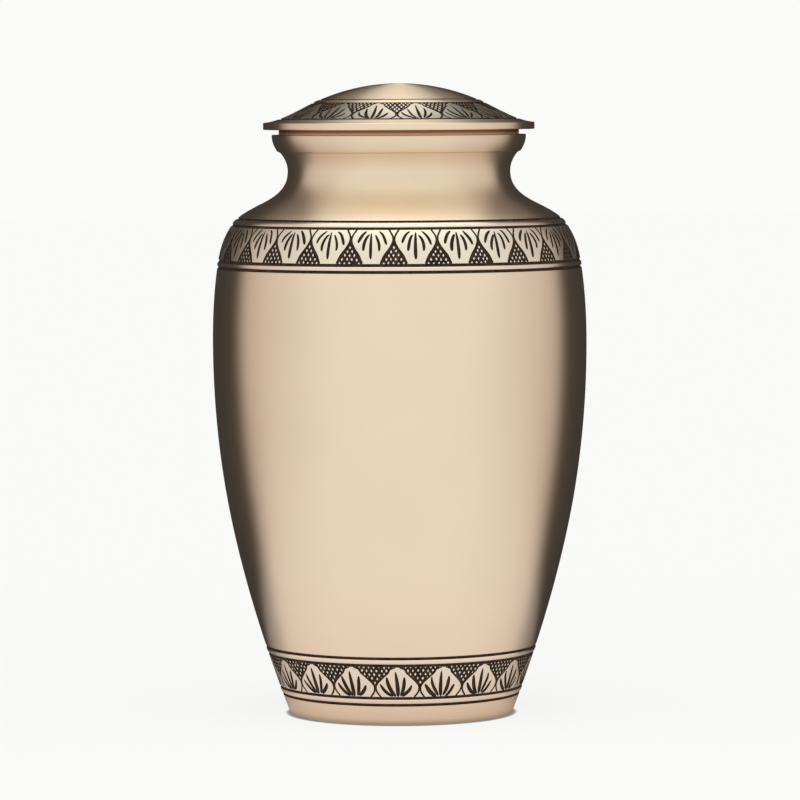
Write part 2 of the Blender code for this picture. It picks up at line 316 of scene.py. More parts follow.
def vessel_profile():
    """Up the hollow, over the collar, down the outside and under the foot."""
    profile = Profile()
    floor = FOOT_RECESS + WALL
    outer, out = vessel_surface(np.linspace(floor + FLOOR_FILLET, NECK_TOP[0], 36))
    inner = outer - out * WALL
    corner = arc((inner[0][0] - FLOOR_FILLET, floor + FLOOR_FILLET), FLOOR_FILLET, -90, 0, 5)
    profile.smooth([(0.0, floor), (corner[0][0] / 2, floor), corner[0]])
    profile.smooth(np.concatenate([corner, inner]))
    lip = COLLAR_TOP - COLLAR_LIP
    profile.straight(
        inner[-1], (inner[-1][0], LEDGE), (BORE_RADIUS, LEDGE), (BORE_RADIUS, lip),
        (BORE_RADIUS + COLLAR_LIP, COLLAR_TOP), (COLLAR_RADIUS - COLLAR_LIP, COLLAR_TOP),
    )
    round_edge = arc((COLLAR_RADIUS - COLLAR_LIP, lip), COLLAR_LIP, 90, 0, 4)
    share = np.linspace(1 - COLLAR_LIP / COLLAR_HEIGHT, 0, 12)[1:]
    swell = COLLAR_BULGE * (1 - (1 - share) ** COLLAR_FULLNESS)
    ovolo = np.stack([COLLAR_RADIUS - COLLAR_BULGE + swell, COLLAR_BOTTOM + COLLAR_HEIGHT * share], axis=1)
    profile.smooth(np.concatenate([round_edge, ovolo]))
    profile.straight(ovolo[-1], (NECK_TOP[1], NECK_TOP[0]))
    rings = vessel_rings()
    end = ringed(profile, vessel_surface, NECK_TOP[0], rings[:4], 0.0012)
    end = ringed(profile, vessel_surface, end, rings[4:], 0.004)
    side, out = stretch(vessel_surface, end, FOOT_CORNER, 0.0015)
    profile.add(side, out)
    tilt = -math.degrees(math.asin(out[-1][1]))
    foot_radius = FOOT_CORNER / (1 + out[-1][1])
    corner = arc(side[-1] - out[-1] * foot_radius, foot_radius, -tilt, -90, 6)
    ring_inside = FOOT_RADIUS - FOOT_CORNER - FOOT_RING_WIDTH
    profile.smooth(corner)
    profile.straight(
        corner[-1], (ring_inside, corner[-1][1]), (ring_inside - FOOT_RECESS, FOOT_RECESS),
        (ring_inside / 2, FOOT_RECESS), (0.0, FOOT_RECESS),
    )
    return profile


def lid_profile():
    """From the crown out to the flange, down the spigot and up the hollow inside."""
    profile = Profile()
    rings = lid_rings()
    edge = FLANGE_RADIUS - EDGE_ROUND
    end = ringed(profile, lid_surface, 0.0, [*rings, None], 0.0022)
    profile.add(*stretch(lid_surface, end, edge, 0.0008))
    profile.smooth(arc((edge, FLANGE_TOP - EDGE_ROUND), EDGE_ROUND, 90, 0, 3))
    profile.straight((FLANGE_RADIUS, FLANGE_TOP - EDGE_ROUND), (FLANGE_RADIUS, FLANGE_BOTTOM + EDGE_ROUND))
    profile.smooth(arc((edge, FLANGE_BOTTOM + EDGE_ROUND), EDGE_ROUND, 0, -90, 3))
    under, out = lid_surface(np.linspace(SPIGOT_BORE, 0.0, 16))
    under = under - out * WALL
    # The flange's underside, the spigot and its bore take the unpolished bronze coloured with painted shade
    profile.straight(
        (edge, FLANGE_BOTTOM), (SPIGOT_RADIUS, FLANGE_BOTTOM), (SPIGOT_RADIUS, SPIGOT_BOTTOM),
        (SPIGOT_BORE, SPIGOT_BOTTOM), (SPIGOT_BORE, under[0][1]), under[0], slot=UNPOLISHED_PAINTED_SHADE,
    )
    profile.smooth(under)
    return profile


def placed(points, angles):
    """Points (radius, height) turned to these angles from the front: (r sin a, -r cos a, h)."""
    radius, height = points[..., 0], points[..., 1]
    return np.stack(np.broadcast_arrays(radius * np.sin(angles), -radius * np.cos(angles), height), axis=-1)


class Surface:
    """Faces gathered as whole arrays: corner vertices, corner normals and the material slot of each face."""

    def __init__(self, profile, columns):
        """The turned strips: point i of the profile at column j stands at angle 2 pi j / columns."""
        self.columns = columns
        self.angles = np.arange(columns) * 2 * math.pi / columns
        points = np.array(profile.points)
        on_axis = points[:, 0] < 1e-9
        counts = np.where(on_axis, 1, columns)
        base = np.concatenate([[0], np.cumsum(counts)[:-1]])
        self.rows = base[:, None] + np.where(on_axis[:, None], 0, np.arange(columns)[None, :])
        vertices = np.zeros((counts.sum(), 3))
        vertices[self.rows[~on_axis]] = placed(points[:, None], self.angles[None, :])[~on_axis]
        vertices[base[on_axis], 2] = points[on_axis, 1]
        self.vertices = [vertices]
        self.count = len(vertices)
        self.faces = []
        for at, start, end, slot in profile.strips:
            self.add_strip(at, start, end, slot, on_axis)

    def add_strip(self, at, start, end, slot, on_axis):
        """One strip round the axis: quads, or triangles where it starts or ends on the axis."""
        near, far = self.rows[at], self.rows[at + 1]
        next_near, next_far = np.roll(near, -1), np.roll(far, -1)
        next_angles = np.roll(self.angles, -1)
        corners = [(near, start, self.angles), (far, end, self.angles), (next_far, end, next_angles)]
        if on_axis[at + 1]:
            corners = [(near, start, self.angles), (far, end, self.angles), (next_near, start, next_angles)]
        elif not on_axis[at]:
            corners.append((next_near, start, next_angles))
        index = np.stack([c[0] for c in corners], axis=1)
        normals = np.stack([placed(np.tile(c[1], (self.columns, 1)), c[2]) for c in corners], axis=1)
        self.add_faces(index, normals, np.full(self.columns, slot))

    def add_vertices(self, places):
        first = self.count
        self.vertices.append(places)
        self.count += len(places)
        return first + np.arange(len(places))

    def add_faces(self, index, normals, slots):
        self.faces.append((index, normals, slots))

    def mesh(self, name, materials):
        """One Blender mesh of all faces, with the gathered corner normals."""
        mesh = bpy.data.meshes.new(name)
        vertices = np.concatenate(self.vertices)
        sizes = np.concatenate([np.full(len(f[0]), f[0].shape[1]) for f in self.faces])
        corners = np.concatenate([f[0].ravel() for f in self.faces])
        mesh.vertices.add(len(vertices))
        mesh.vertices.foreach_set("co", vertices.ravel())
        mesh.loops.add(len(corners))
        mesh.loops.foreach_set("vertex_index", corners.astype(np.int32))
        mesh.polygons.add(len(sizes))
        mesh.polygons.foreach_set("loop_start", (np.cumsum(sizes) - sizes).astype(np.int32))
        slots = np.concatenate([f[2] for f in self.faces])
        mesh.polygons.foreach_set("material_index", slots.astype(np.int32))
        for material in materials:
            mesh.materials.append(material)
        mesh.update(calc_edges=True)
        mesh.shade_smooth()
        normals = np.concatenate([f[1].reshape(-1, 3) for f in self.faces])
        mesh.normals_split_custom_set(normals / np.linalg.norm(normals, axis=1, keepdims=True))
        return mesh


def through(places, values):
    """A smooth curve through values at places, its slope there taken from the neighbours."""
    return tuple(zip(places, values, np.gradient(values, places)))


# Half width of a leaf in leaf spacings, from its root to its tip
HANGING_LEAF = through(
    [0.0, 0.12, 0.26, 0.36, 0.48, 0.6, 0.7, 0.79, 0.9, 1.0],
    [0.385, 0.45, 0.487, 0.475, 0.432, 0.372, 0.312, 0.268, 0.232, 0.195],
)
STANDING_LEAF = through(
    [0.0, 0.12, 0.26, 0.38, 0.5, 0.63, 0.74, 0.82, 0.89, 0.95, 0.985],
    [0.38, 0.45, 0.487, 0.478, 0.42, 0.33, 0.248, 0.19, 0.17, 0.13, 0.05],
)
STROKE, GROUND, DIAMOND = 1, 2, 3


def stroke(points, widths, samples=13):
    """A cut along the polynomial through points: its edges lie half the local width either side of it.

    The width falls off as sqrt(1 - t^12) towards each end, which rounds it.
    """
    points = np.asarray(points, float)
    t = np.linspace(0, 1, len(points))
    fine = (1 - np.cos(np.linspace(0, math.pi, samples))) / 2
    line = np.stack([np.polyval(np.polyfit(t, points[:, k], len(points) - 1), fine) for k in (0, 1)], axis=1)
    run = np.gradient(line, axis=0)
    side = np.stack([-run[:, 1], run[:, 0]], axis=1) / np.linalg.norm(run, axis=1, keepdims=True)
    half = np.interp(fine, np.linspace(0, 1, len(widths)), widths) / 2
    half *= np.sqrt(1 - fine**12) * np.sqrt(1 - (1 - fine) ** 12)
    half = np.maximum(half, 0.05)[:, None]
    return np.concatenate([line + side * half, (line - side * half)[::-1]])


# What each cut runs through, in leaf spacings across and in shares of the leaf's length from its root,
# with its width in millimetres at even steps along it
HANGING_CUTS = (
    (((-0.005, 0.06), (-0.015, 0.45), (-0.02, 0.87)), (0.7, 1.0, 1.2, 1.3, 1.3)),
    (((0.075, 0.14), (0.13, 0.25), (0.17, 0.41), (0.165, 0.62)), (0.75, 1.1, 1.25, 1.25)),
    (((-0.06, 0.14), (-0.115, 0.25), (-0.165, 0.42), (-0.172, 0.63)), (0.75, 1.1, 1.25, 1.25)),
    (((0.15, 0.04), (0.245, 0.15), (0.305, 0.28), (0.345, 0.44)), (0.65, 1.0, 1.15, 1.1)),
    (((-0.13, 0.04), (-0.215, 0.13), (-0.285, 0.25), (-0.325, 0.4)), (0.65, 1.0, 1.15, 1.1)),
)
STANDING_CUTS = (
    (((0.0, 0.0), (-0.02, 0.4), (-0.045, 0.86)), (1.5, 1.65, 1.55, 1.25, 0.8)),
    (((-0.05, 0.02), (-0.14, 0.2), (-0.21, 0.42), (-0.25, 0.66)), (1.2, 1.45, 1.4, 0.95)),
    (((0.06, 0.02), (0.115, 0.25), (0.145, 0.46), (0.15, 0.68)), (1.2, 1.45, 1.4, 0.95)),
    (((-0.1, 0.02), (-0.22, 0.12), (-0.32, 0.27), (-0.38, 0.44)), (1.1, 1.35, 1.25, 0.85)),
    (((0.1, 0.02), (0.19, 0.12), (0.26, 0.25), (0.3, 0.4)), (1.1, 1.35, 1.25, 0.85)),
)
OUTLINE_WIDTHS = (0.75, 0.85, 0.8, 0.6)
HATCH_ANGLE = math.radians(58)
HATCH_PITCH = 1.7
HATCH_WIDTH = 0.92
MM = 1000.0


class LeafBand:
    """A ring of engraved leaves, drawn flat round a centre and then laid on the turned surface.

    A point is placed by its angle from the front and by rho, in millimetres, which grows along the profile.
    """

    def __init__(self, surface, rings, leaves, turn, hanging, fullness, seed):
        self.surface = surface
        first, last = rings
        self.middle = (first[0] + last[1]) / 2
        self.run = math.copysign(1.0, last[1] - first[0])
        self.centre = float(surface(self.middle)[0][0]) * MM
        self.edges = [self.rho(place) for place in (*first, *last)]
        self.leaves = leaves
        self.turn = math.radians(turn)
        self.spacing = 2 * math.pi / leaves
        self.width = self.spacing * self.centre
        self.length = self.edges[2] - self.edges[1]
        self.root, self.way = (self.edges[1], 1.0) if hanging else (self.edges[2], -1.0)
        self.leaf = HANGING_LEAF if hanging else STANDING_LEAF
        self.cuts = HANGING_CUTS if hanging else STANDING_CUTS
        self.apex = 0.27  # where two leaves meet, as a share of their length
        self.fullness = fullness
        self.chance = np.random.default_rng(seed)

    def rho(self, place):
        return self.centre + self.run * (place - self.middle) * MM

    def flat(self, number, points):
        """Points of leaf number, in millimetres across and along it, put into the flat drawing.

        A point stands there at rho (sin a, -cos a).
        """
        points = np.asarray(points, float)
        angle = self.turn + (number + points[:, 0] / self.width) * self.spacing
        rho = self.root + self.way * points[:, 1]
        return np.stack([rho * np.sin(angle), -rho * np.cos(angle)], axis=1)

    def half_width(self, share):
        return hermite(self.leaf, np.asarray(share, float))

    def leaf_cuts(self, number):
        """The veins of one leaf and the lines round it, each a little off its drawn place."""
        size = np.array([self.width, self.length])
        shapes = []
        lean, shift = self.chance.normal(0, (0.012, 0.006))
        for points, widths in self.cuts:
            points = np.array(points) + self.chance.normal(0, 0.008, (len(points), 2))
            points[:, 0] += shift + lean * points[:, 1]
            points[:, 1] = np.maximum(points[:, 1], 0.0)
            widths = np.array(widths) * self.chance.normal(self.fullness, 0.09)
            shapes.append(stroke(points * size, widths))
        share = np.linspace(-0.02, min(self.leaf[-1][0], 0.985), 17)
        half = self.half_width(np.maximum(share, 0)) * self.width
        for side in (-1, 1):
            line = np.stack([side * half, share * self.length], axis=1)
            shapes.append(ribbon(line, OUTLINE_WIDTHS))
        return [self.flat(number, shape) for shape in shapes]

    def ground(self, number):
        """The sunk ground between this leaf and the next, from a point out into the ring."""
        last = self.leaf[-1][0]
        share = np.linspace(self.apex, last, 14)
        half = self.half_width(share)
        half[0] = 0.497
        side = np.stack([half, share], axis=1)
        if last < 1:
            side = np.concatenate([side, [(0.0, 0.99)]])
        beyond = 1 + 0.4 * abs(self.edges[1] - self.edges[0]) / self.length
        across = np.linspace(side[-1][0], 1 - side[-1][0], 9)
        far = np.stack([across, np.full(9, beyond)], axis=1)
        outline = np.concatenate([side, far, (side * (-1, 1) + (1, 0))[::-1]])
        return self.flat(number, outline * (self.width, self.length))

    def diamonds(self, number):
        """What crossed hatching leaves standing between lines at plus and minus one angle.

        Two lines that pass the middle at distances a and b meet at x = (b - a) / (2 sin) and
        y = (a + b) / (2 cos) of the angle.
        """
        count = 9
        turns = np.arange(-count, count + 1) * HATCH_PITCH
        free = (HATCH_PITCH - HATCH_WIDTH * self.fullness) / 2
        edges = turns[:, None] + self.chance.normal(0, 0.1, (2, len(turns), 1)) + np.array([-free, free])
        a, b = edges
        corners = [(0, 0), (1, 0), (1, 1), (0, 1)]
        a = np.stack([a[:, i] for i, _ in corners], axis=1)[:, None]
        b = np.stack([b[:, j] for _, j in corners], axis=1)[None, :]
        x = (b - a) / (2 * math.sin(HATCH_ANGLE))
        y = (a + b) / (2 * math.cos(HATCH_ANGLE)) + 0.75 * self.length
        points = np.stack(np.broadcast_arrays(x, y), axis=-1).reshape(-1, 4, 2)
        points += self.chance.normal(0, 0.05, points.shape)
        middle = points.mean(axis=1)
        share = middle[:, 1] / self.length
        room = (0.5 - self.half_width(np.clip(share, 0, 1))) * self.width
        end = 1.03 if self.leaf[-1][0] < 1 else 1.0
        keep = (share > self.apex + 0.07) & (share < end) & (np.abs(middle[:, 0]) < room + 0.1)
        reach = self.length + 0.4 * (self.edges[1] - self.edges[0])
        points = points[keep]
        points[..., 1] = np.minimum(points[..., 1], reach)
        points[..., 0] += self.width / 2
        return [self.flat(number, diamond) for diamond in points]

    def grid(self):
        """Evenly staggered points over the whole band, which keep its faces small and round."""
        step = 2.2
        rows = np.arange(self.edges[1] + 0.6, self.edges[2] - 0.5, 0.87 * step)
        count = int(2 * math.pi * self.centre / step)
        stagger = 0.5 * (np.arange(len(rows)) % 2)
        angle = (np.arange(count)[None, :] + stagger[:, None]) * 2 * math.pi / count
        rho = rows[:, None]
        return np.stack([rho * np.sin(angle), -rho * np.cos(angle)], axis=-1).reshape(-1, 2)

    def lay(self, solid, at):
        """Triangulates the drawing, sinks what is cut, and joins it to the profile rows at and at + 1."""
        circle = np.stack([np.sin(solid.angles), -np.cos(solid.angles)], axis=1)
        shapes = [rho * circle for rho in (self.edges[3], self.edges[2], self.edges[1], self.edges[0])]
        kinds = [0, 0, 0, 0]
        for number in range(self.leaves):
            for kind, found in (
                (STROKE, self.leaf_cuts(number)),
                (GROUND, [self.ground(number)]),
                (DIAMOND, self.diamonds(number)),
            ):
                shapes += found
                kinds += [kind] * len(found)
        shapes = [counter_clockwise(shape) for shape in shapes]
        sizes = [len(shape) for shape in shapes]
        ends = np.cumsum(sizes)
        faces = [list(range(end - size, end)) for end, size in zip(ends, sizes)]
        points = np.concatenate([*shapes, self.grid()])
        places, _, triangles, sources, _, inside = delaunay_2d_cdt(
            [tuple(point) for point in points.tolist()], [], faces, 1, 1e-5
        )
        kinds = np.array(kinds)
        has = np.zeros((len(triangles), 4), bool)
        ring = np.zeros((len(triangles), 4), bool)
        for n, found in enumerate(inside):
            has[n, kinds[found]] = True
            ring[n, [shape for shape in found if shape < 4]] = True
        keep = ring[:, 0] & ~ring[:, 3]
        cut = ~ring[:, 1] | ring[:, 2] | has[:, STROKE] | (has[:, GROUND] & ~has[:, DIAMOND])
        places = np.array([tuple(place) for place in places])
        triangles = np.array(triangles)[keep]
        cut = cut[keep]
        outer_row = {
            n: column for n, found in enumerate(sources) for column in found
            if column < solid.columns
        }
        first = int(ends[2])
        inner_row = {
            n: column - first for n, found in enumerate(sources) for column in found
            if first <= column < first + solid.columns
        }
        self.raise_faces(solid, at, places, triangles, cut, inner_row, outer_row)

    def raise_faces(self, solid, at, places, triangles, cut, inner_row, outer_row):
        """Tops on the surface, floors under it by the engraved depth, and walls where the two meet."""
        rho = np.linalg.norm(places, axis=1)
        angles = np.arctan2(places[:, 0], -places[:, 1])
        points, out = self.surface(self.middle + self.run * (rho - self.centre) / MM)
        normals = placed(out, angles)
        top = np.full(len(places), -1)
        for rows, found in ((solid.rows[at], inner_row), (solid.rows[at + 1], outer_row)):
            top[list(found)] = rows[list(found.values())]
        needed = np.zeros(len(places), bool)
        needed[triangles[~cut]] = True
        needed &= top < 0
        edge = np.concatenate([triangles[cut][:, pair] for pair in ([0, 1], [1, 2], [2, 0])])
        top_places = placed(points, angles)
        top[needed] = solid.add_vertices(top_places[needed])
        bottom = np.full(len(places), -1)
        sunk = np.unique(triangles[cut])
        bottom[sunk] = solid.add_vertices((top_places - normals * ENGRAVED_DEPTH)[sunk])
        solid.add_faces(top[triangles[~cut]], normals[triangles[~cut]], np.full((~cut).sum(), BAND))
        solid.add_faces(bottom[triangles[cut]], normals[triangles[cut]], np.full(cut.sum(), BLACK))
        size = len(places)
        forward = edge[:, 0] * size + edge[:, 1]
        backward = edge[:, 1] * size + edge[:, 0]
        a, b = edge[~np.isin(backward, forward)].T
        if (top[[a, b]] < 0).any():
            raise ValueError("an engraved edge has no top")
        across = top_places[b] - top_places[a]
        facing = np.cross(normals[a], across)
        facing /= np.maximum(np.linalg.norm(facing, axis=1, keepdims=True), 1e-12)
        walls = np.stack([bottom[b], bottom[a], top[a], top[b]], axis=1)
        solid.add_faces(walls, np.repeat(facing[:, None], 4, axis=1), np.full(len(a), BLACK))


def ribbon(line, widths):
    """A cut along a line of points, of an even change of width."""
    run = np.gradient(line, axis=0)
    side = np.stack([-run[:, 1], run[:, 0]], axis=1) / np.linalg.norm(run, axis=1, keepdims=True)
    half = np.interp(np.linspace(0, 1, len(line)), np.linspace(0, 1, len(widths)), widths)[:, None] / 2
    return np.concatenate([line + side * half, (line - side * half)[::-1]])


def counter_clockwise(shape):
    x, y = shape.T
    area = np.sum(x * np.roll(y, -1) - y * np.roll(x, -1))
    return shape if area > 0 else shape[::-1]


def ramp(nodes, links, value, stops):
    """A colour ramp on a value, from stops of (place, colour)."""
    node = nodes.new("ShaderNodeValToRGB")
    while len(node.color_ramp.elements) < len(stops):
        node.color_ramp.elements.new(0.5)
    for element, (place, colour) in zip(node.color_ramp.elements, stops):
        element.position = place
        element.color = (*colour, 1.0)
    links.new(value, node.inputs["Fac"])
    return node.outputs["Color"]


def maths(nodes, links, operation, *values):
    """A sum on sockets and plain numbers."""
    node = nodes.new("ShaderNodeMath")
    node.operation = operation
    for socket, value in zip(node.inputs, values):
        if isinstance(value, (int, float)):
            socket.default_value = value
        else:
            links.new(value, socket)
    return node.outputs[0]


def noise(nodes, links, vector, scale, detail):
    """Noise on coordinates in metres, with about this many marks to the metre."""
    node = nodes.new("ShaderNodeTexNoise")
    node.inputs["Scale"].default_value = scale
    node.inputs["Detail"].default_value = detail
    links.new(vector, node.inputs["Vector"])
    return node.outputs["Fac"]


def turned_place(nodes, links):
    """Object coordinates, and the same rolled up to (distance from the axis, 0, height).

    Marks made on the rolled-up ones run round the axis.
    """
    coordinates = nodes.new("ShaderNodeTexCoord")
    apart = nodes.new("ShaderNodeSeparateXYZ")
    links.new(coordinates.outputs["Object"], apart.inputs[0])
    x, y, z = apart.outputs
    squares = [maths(nodes, links, "MULTIPLY", side, side) for side in (x, y)]
    radius = maths(nodes, links, "SQRT", maths(nodes, links, "ADD", *squares))
    joined = nodes.new("ShaderNodeCombineXYZ")
    links.new(radius, joined.inputs[0])
    links.new(z, joined.inputs[2])
    return coordinates.outputs["Object"], joined.outputs[0]


# Turning marks and clouds of tone: how many to the metre, how deep in metres, and how dark and how light
MARK_COUNT, MARK_DEPTH = 2600.0, 0.00004
CLOUD_COUNT, CLOUD_DARK, CLOUD_LIGHT = 26.0, 0.985, 1.01


def bronze(name, colour, roughness, grain, anisotropic):
    """Brushed bronze: highlights drawn out across the turning marks, and a faint cloud of tone."""
    material = bpy.data.materials.new(name)
    material.use_nodes = True
    nodes, links = material.node_tree.nodes, material.node_tree.links
    shader = nodes["Principled BSDF"]
    place, turned = turned_place(nodes, links)
    shader.inputs["Metallic"].default_value = 1.0
    shader.inputs["Anisotropic"].default_value = anisotropic
    shader.inputs["Anisotropic Rotation"].default_value = 0.25
    tangent = nodes.new("ShaderNodeTangent")
    tangent.direction_type = "RADIAL"
    tangent.axis = "Z"
    links.new(tangent.outputs["Tangent"], shader.inputs["Tangent"])
    marks = noise(nodes, links, turned, MARK_COUNT, 3.0)
    cloud = noise(nodes, links, place, CLOUD_COUNT, 3.0)
    dark = tuple(c * CLOUD_DARK for c in colour)
    light = tuple(min(c * CLOUD_LIGHT, 1.0) for c in colour)
    links.new(ramp(nodes, links, cloud, ((0.35, dark), (0.65, light))), shader.inputs["Base Color"])
    spread = maths(nodes, links, "MULTIPLY_ADD", marks, 0.10, roughness - 0.05)
    links.new(spread, shader.inputs["Roughness"])
    bump = nodes.new("ShaderNodeBump")
    bump.inputs["Strength"].default_value = grain
    bump.inputs["Distance"].default_value = MARK_DEPTH
    links.new(marks, bump.inputs["Height"])
    links.new(bump.outputs["Normal"], shader.inputs["Normal"])
    return material


def shade_upwards(material, low, high, tones):
    """Colours a material by height, over its share of the way from low to high in metres."""
    nodes, links = material.node_tree.nodes, material.node_tree.links
    apart = nodes.new("ShaderNodeSeparateXYZ")
    links.new(nodes.new("ShaderNodeTexCoord").outputs["Object"], apart.inputs[0])
    share = maths(nodes, links, "MULTIPLY_ADD", apart.outputs["Z"], 1 / (high - low), -low / (high - low))
    links.new(ramp(nodes, links, share, tones), nodes["Principled BSDF"].inputs["Base Color"])


def blackened(name):
    """What fills the engraving: a matte brown-black, a little browner where it is worn."""
    material = bpy.data.materials.new(name)
    material.use_nodes = True
    nodes, links = material.node_tree.nodes, material.node_tree.links
    shader = nodes["Principled BSDF"]
    place, _ = turned_place(nodes, links)
    shader.inputs["Specular IOR Level"].default_value = 0.12
    worn = noise(nodes, links, place, 300.0, 4.0)
    colours = ((0.35, (0.018, 0.011, 0.006)), (0.7, (0.054, 0.034, 0.018)))
    links.new(ramp(nodes, links, worn, colours), shader.inputs["Base Color"])
    links.new(maths(nodes, links, "MULTIPLY_ADD", worn, 0.2, 0.6), shader.inputs["Roughness"])
    return material


CONTACT_SHADE = 0.0028


def paper(name, colour, glow, matte):
    """Near-white paper, lit mostly from within to stay even, with a thin shade at what it touches."""
    material = bpy.data.materials.new(name)
    material.use_nodes = True
    nodes, links = material.node_tree.nodes, material.node_tree.links
    shader = nodes["Principled BSDF"]
    shader.inputs["Base Color"].default_value = (*(c * matte for c in colour), 1.0)
    shader.inputs["Roughness"].default_value = 1.0
    shader.inputs["Specular IOR Level"].default_value = 0.0
    shader.inputs["Emission Strength"].default_value = glow
    closeness = nodes.new("ShaderNodeAmbientOcclusion")
    closeness.inputs["Distance"].default_value = CONTACT_SHADE
    closeness.samples = 24
    shades = (
        (0.5, (0.25, 0.23, 0.21)),
        (0.7, (0.55, 0.54, 0.52)),
        (0.85, (0.92, 0.92, 0.90)),
        (0.93, colour),
    )
    links.new(ramp(nodes, links, closeness.outputs["AO"], shades), shader.inputs["Emission Color"])
    return material


def floor_in_metal(name):
    """The pale floor as the metal shows it: darker and browner right at the foot as painted shade and a
    painted reflection of the brass, and dim behind it.

    A place is dimmed by how far back it lies, y + 0.08 x - 4.5 max(r - 0.12, 0), with r its distance from
    the axis. The last part keeps the dimming near the foot.
    """
    material = bpy.data.materials.new(name)
    material.use_nodes = True
    nodes, links = material.node_tree.nodes, material.node_tree.links
    nodes.clear()
    length = nodes.new("ShaderNodeVectorMath")
    length.operation = "LENGTH"
    place = nodes.new("ShaderNodeTexCoord").outputs["Object"]
    links.new(place, length.inputs[0])
    apart = nodes.new("ShaderNodeSeparateXYZ")
    links.new(place, apart.inputs[0])
    radius = length.outputs["Value"]
    away = maths(nodes, links, "MAXIMUM", maths(nodes, links, "SUBTRACT", radius, 0.12), 0.0)
    back = maths(nodes, links, "MULTIPLY_ADD", apart.outputs["X"], 0.08, apart.outputs["Y"])
    back = maths(nodes, links, "MULTIPLY_ADD", away, -4.5, back)
    fading = ramp(nodes, links, maths(nodes, links, "ADD", back, 0.5), FLOOR_FADING)
    tones = ramp(nodes, links, radius, FLOOR_TONES)
    light = nodes.new("ShaderNodeEmission")
    light.inputs["Strength"].default_value = LIGHT_STRENGTH
    links.new(blend(nodes, links, "MULTIPLY", tones, fading), light.inputs["Color"])
    output = nodes.new("ShaderNodeOutputMaterial")
    links.new(light.outputs[0], output.inputs["Surface"])
    return material


def studio():
    """Soft light from the camera's side all round, and from a panel overhead that narrows towards the back.

    It is dim low behind the object. Two ramps are compared and the brighter one counts. One goes by how far
    a direction points backwards: y / sqrt(x^2 + y^2) - 0.02 x, less 0.13 times 3 z kept between 0 and 1,
    plus 0.15 max(-z - 0.1, 0). The other goes by how far it leaves the panel: (|x| + 1.5 y - 1.12 z) / 2.
    What the camera sees directly is plain near-white.
    """
    world = bpy.data.worlds.new("soft_studio")
    bpy.context.scene.world = world
    world.use_nodes = True
    nodes, links = world.node_tree.nodes, world.node_tree.links
    nodes.clear()
    apart = nodes.new("ShaderNodeSeparateXYZ")
    links.new(nodes.new("ShaderNodeTexCoord").outputs["Generated"], apart.inputs[0])
    x, y, z = apart.outputs

    def sums(operation, *values):
        return maths(nodes, links, operation, *values)

    level = sums("SQRT", sums("ADD", sums("MULTIPLY", x, x), sums("MULTIPLY", y, y)))
    behind = sums("DIVIDE", y, sums("MAXIMUM", level, 0.02))
    raised = sums("MINIMUM", sums("MAXIMUM", sums("MULTIPLY", z, 3.0), 0.0), 1.0)
    behind = sums("MULTIPLY_ADD", raised, -0.13, sums("MULTIPLY_ADD", x, -0.02, behind))
    sunk = sums("MAXIMUM", sums("MULTIPLY_ADD", z, -1.0, -0.1), 0.0)
    behind = sums("MULTIPLY_ADD", sunk, 0.15, behind)
    below_panel = sums("MULTIPLY_ADD", y, 0.75, sums("MULTIPLY", z, -0.56))
    off_panel = sums("MULTIPLY_ADD", sums("ABSOLUTE", x), 0.5, below_panel)
    walls = ramp(nodes, links, sums("MULTIPLY_ADD", behind, 0.5, 0.5), WALL_TONES)
    panel = ramp(nodes, links, sums("MULTIPLY_ADD", off_panel, 2.0, 0.5), PANEL_TONES)
    brighter = blend(nodes, links, "LIGHTEN", walls, panel)
    heights = ramp(nodes, links, sums("MULTIPLY_ADD", z, 0.5, 0.5), HEIGHT_TONES)
    light = nodes.new("ShaderNodeBackground")
    light.inputs["Strength"].default_value = LIGHT_STRENGTH
    links.new(blend(nodes, links, "MULTIPLY", brighter, heights), light.inputs["Color"])
    seen = nodes.new("ShaderNodeBackground")
    seen.inputs["Color"].default_value = (*BACKGROUND, 1.0)
    choice = nodes.new("ShaderNodeMixShader")
    links.new(nodes.new("ShaderNodeLightPath").outputs["Is Camera Ray"], choice.inputs["Fac"])
    links.new(light.outputs[0], choice.inputs[1])
    links.new(seen.outputs[0], choice.inputs[2])
    output = nodes.new("ShaderNodeOutputWorld")
    links.new(choice.outputs[0], output.inputs["Surface"])


def blend(nodes, links, way, first, second):
    """Two colours put together in one of Blender's ways."""
    node = nodes.new("ShaderNodeMix")
    node.data_type = "RGBA"
    node.blend_type = way
    node.inputs["Factor"].default_value = 1.0
    links.new(first, node.inputs["A"])
    links.new(second, node.inputs["B"])
    return node.outputs["Result"]


LIGHT_STRENGTH = 1.04
BACKGROUND = (0.965, 0.965, 0.945)
# Brightness by how far back a direction points: 0 straight at the camera, 1 straight behind the object
WALL_TONES = (
    (0.0, (1.0, 1.0, 1.0)),
    (0.08, (1.0, 1.0, 1.0)),
    (0.28, (0.89, 0.88, 0.88)),
    (0.46, (0.83, 0.785, 0.79)),
    (0.61, (0.755, 0.67, 0.67)),
    (0.68, (0.665, 0.57, 0.55)),
    (0.72, (0.36, 0.32, 0.29)),
    (0.75, (0.13, 0.115, 0.10)),
    (0.80, (0.065, 0.058, 0.052)),
    (1.0, (0.045, 0.042, 0.042)),
)
# Brightness by how far a direction leaves the panel overhead, whose edge is at 0.5
PANEL_TONES = (
    (0.30, (1.0, 1.0, 1.0)),
    (0.42, (0.85, 0.83, 0.80)),
    (0.52, (0.45, 0.42, 0.39)),
    (0.64, (0.13, 0.115, 0.10)),
    (0.80, (0.0, 0.0, 0.0)),
)
# How much of the floor's light is left in the metal, by how far back a place lies, in metres plus a half
FLOOR_FADING = (
    (0.42, (1.0, 1.0, 1.0)),
    (0.455, (0.95, 0.95, 0.95)),
    (0.49, (0.82, 0.80, 0.79)),
    (0.515, (0.52, 0.49, 0.47)),
    (0.55, (0.22, 0.20, 0.18)),
)
